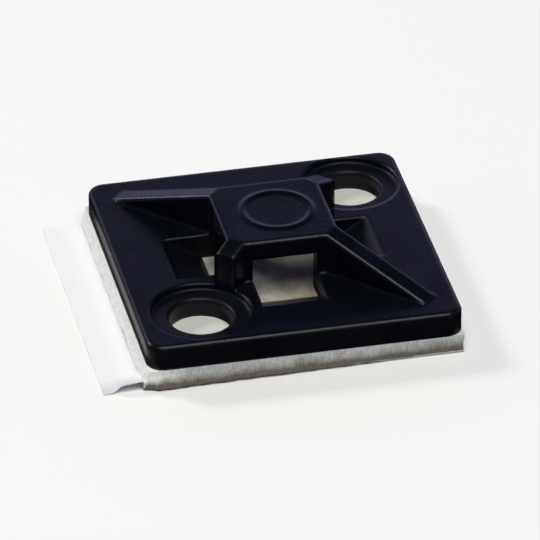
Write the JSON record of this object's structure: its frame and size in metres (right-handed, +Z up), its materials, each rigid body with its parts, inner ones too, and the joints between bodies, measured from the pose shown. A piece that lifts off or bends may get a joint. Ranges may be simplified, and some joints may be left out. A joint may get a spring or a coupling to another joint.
{
  "type": "adhesive cable tie mount",
  "caption": "Square cable tie mount with a ribbed four-way bridge, sunk screw holes, a foam adhesive pad and its release liner.",
  "frame": {"origin": "middle of the square plate, on the surface that the release liner lies on", "axes": "+Z up, out of the mounting surface; -Y towards the side seen at the front of the picture; the liner's tab is on the -X side"},
  "size_m": [0.0321, 0.028, 0.0081],
  "materials": {
    "nylon": "moulded, fine satin",
    "foam": "cut closed-cell foam",
    "liner": "smooth coated paper"
  },
  "bodies": {
    "root": {"mount_base": "nylon", "foam_pad": "foam", "release_liner": "liner"}
  },
  "joints": []
}
